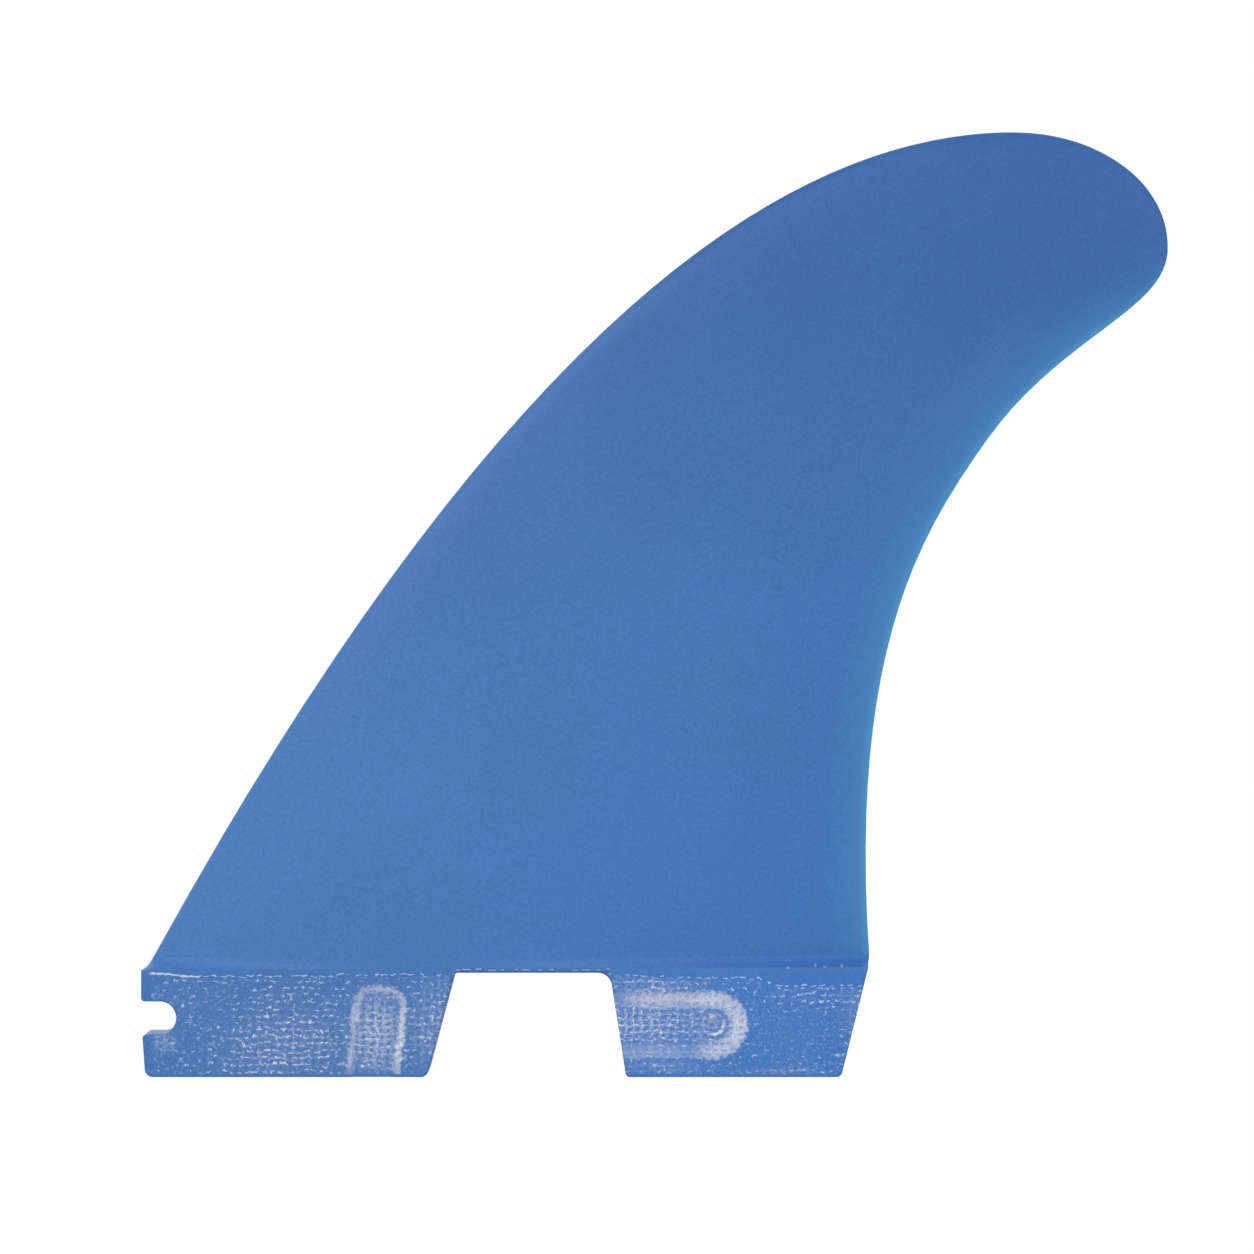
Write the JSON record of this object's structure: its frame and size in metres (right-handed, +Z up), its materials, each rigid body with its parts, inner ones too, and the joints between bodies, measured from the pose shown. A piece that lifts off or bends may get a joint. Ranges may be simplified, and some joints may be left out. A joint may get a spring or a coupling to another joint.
{
  "type": "surfboard fin",
  "caption": "Foiled, swept surfboard fin with a rounded tip, on a base with plug-in tabs, a hook notch at the front and shallow tapered recesses in the tab faces.",
  "frame": {"origin": "on the underside of the blade, midway along the gap between the tabs and midway through the thickness", "axes": "+Z up towards the tip, +X from the leading edge towards the trailing edge, Y through the thickness"},
  "size_m": [0.1382, 0.006, 0.1272],
  "materials": {
    "laminate": "sanded fibre-reinforced resin, satin blue, with pale fibre ends on the cut tabs"
  },
  "bodies": {
    "root": {"fin": "laminate"}
  },
  "joints": []
}
